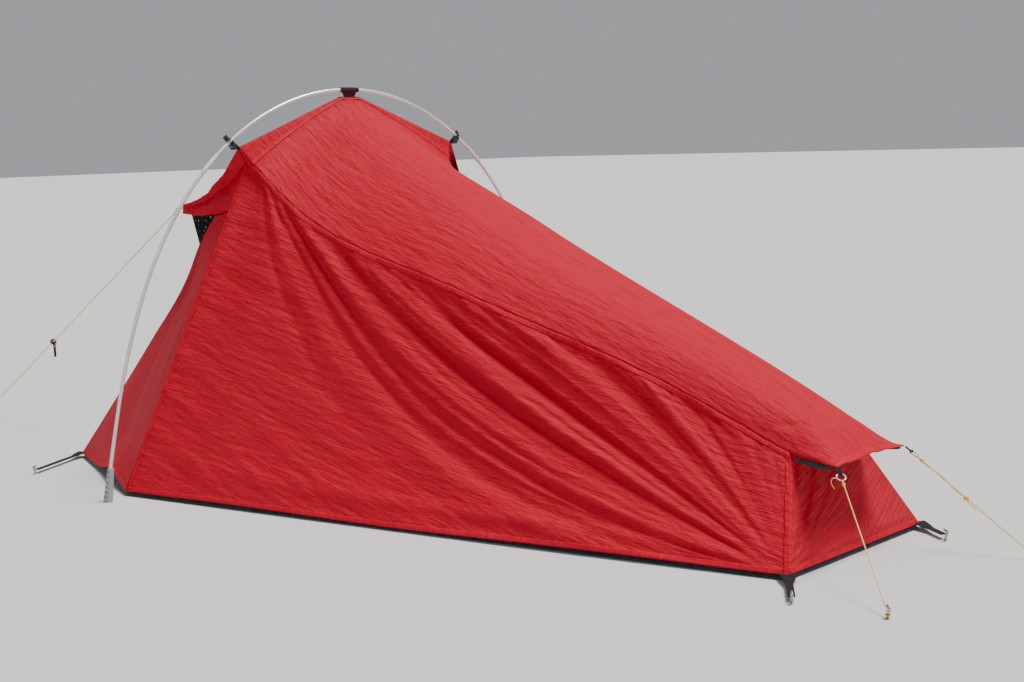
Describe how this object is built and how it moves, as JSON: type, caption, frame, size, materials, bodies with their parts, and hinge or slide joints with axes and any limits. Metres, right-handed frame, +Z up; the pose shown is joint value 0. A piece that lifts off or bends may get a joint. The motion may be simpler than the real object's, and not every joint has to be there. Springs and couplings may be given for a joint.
{
  "type": "one-person tent",
  "caption": "Low one-person tent: one bent pole hoop over a red canopy, side door, head vent under a hood, foot awning, groundsheet, guylines and pegs.",
  "frame": {"origin": "centre of the pitched tent's plan, on the ground", "axes": "+Z up, +X from the head end to the low foot end, +Y towards the side with the door"},
  "size_m": [3.5468, 1.6896, 1.0567],
  "materials": {
    "fly_cloth": "coated red ripstop nylon",
    "mesh": "black insect mesh",
    "floor_cloth": "dark navy coated nylon",
    "webbing": "grey woven webbing",
    "webbing_black": "black woven webbing",
    "guyline": "yellow braided cord",
    "elastic": "white shock cord",
    "pole_tube": "anodised alloy tube",
    "alloy": "plain alloy",
    "pale_plastic": "pale grey plastic",
    "black_plastic": "black acetal",
    "steel": "plated steel wire"
  },
  "bodies": {
    "tent": {"clip_tabs": "webbing", "corner_pegs": "steel", "crown_tab": "webbing", "foot_awning": "fly_cloth", "foot_gusset_far": "mesh", "foot_gusset_near": "mesh", "foot_panel": "fly_cloth", "foot_straps": "webbing", "groundsheet": "floor_cloth", "guy_rings": "steel", "guy_tabs": "webbing", "guyline_foot_far": "guyline", "guyline_foot_near": "guyline", "guyline_head": "guyline", "guyline_knots": "guyline", "guyline_loops": "guyline", "guyline_pegs": "steel", "head_flank_far": "fly_cloth", "head_flank_near": "fly_cloth", "head_straps": "webbing", "head_wall": "fly_cloth", "hood_gore_far": "fly_cloth", "hood_gore_near": "fly_cloth", "hood_top": "fly_cloth", "pole_boot_far": "webbing", "pole_boot_near": "webbing", "pole_crown_far": "pole_tube", "pole_crown_near": "pole_tube", "pole_ferrules": "alloy", "pole_foot_far": "pole_tube", "pole_foot_near": "pole_tube", "pole_leg_far": "pole_tube", "pole_leg_near": "pole_tube", "pole_sleeves": "pale_plastic", "pole_tips": "alloy", "roof_panel": "fly_cloth", "shock_cord": "elastic", "side_clip_far": "black_plastic", "side_clip_near": "black_plastic", "side_panel_far": "fly_cloth", "side_panel_near": "fly_cloth", "side_strip_far": "fly_cloth", "tie_back_toggle": "black_plastic", "tie_back_webbing": "webbing", "vent_gusset_far": "mesh", "vent_gusset_near": "mesh", "vent_mesh": "mesh", "zip_chain": "black_plastic"},
    "door": {"door_panel": "fly_cloth"},
    "zip_slider": {"zip_slider": "steel"},
    "zip_pull": {"zip_pull": "steel"},
    "tensioner": {"tensioner": "black_plastic", "tensioner_knot": "guyline"},
    "tensioner_tail": {"tensioner_tail": "webbing_black"}
  },
  "joints": [
    {"name": "door_swing", "type": "hinge", "parent": "tent", "child": "door", "pos_m": [-0.54092, 0.35618, 0.79104], "axis": [0.674, 0.1638, -0.7204], "range_deg": [0, 110]},
    {"name": "zip_run", "type": "slide", "parent": "tent", "child": "zip_slider", "axis": [0.0006, -0.4548, 0.8906], "range_m": [0, 0.73]},
    {"name": "pull_swing", "type": "hinge", "parent": "zip_slider", "child": "zip_pull", "pos_m": [-0.54909, 0.7427, 0.06401], "axis": [0.9133, -0.3625, -0.1857], "range_deg": [0, 140]},
    {"name": "tensioner_run", "type": "slide", "parent": "tent", "child": "tensioner", "axis": [-0.8775, -0.0164, -0.4792], "range_m": [-0.8, 0.45]},
    {"name": "tail_swing", "type": "hinge", "parent": "tensioner", "child": "tensioner_tail", "pos_m": [-1.6356, -0.46037, 0.2767], "axis": [-0.0186, 0.9998, 0], "range_deg": [-110, 70]}
  ]
}
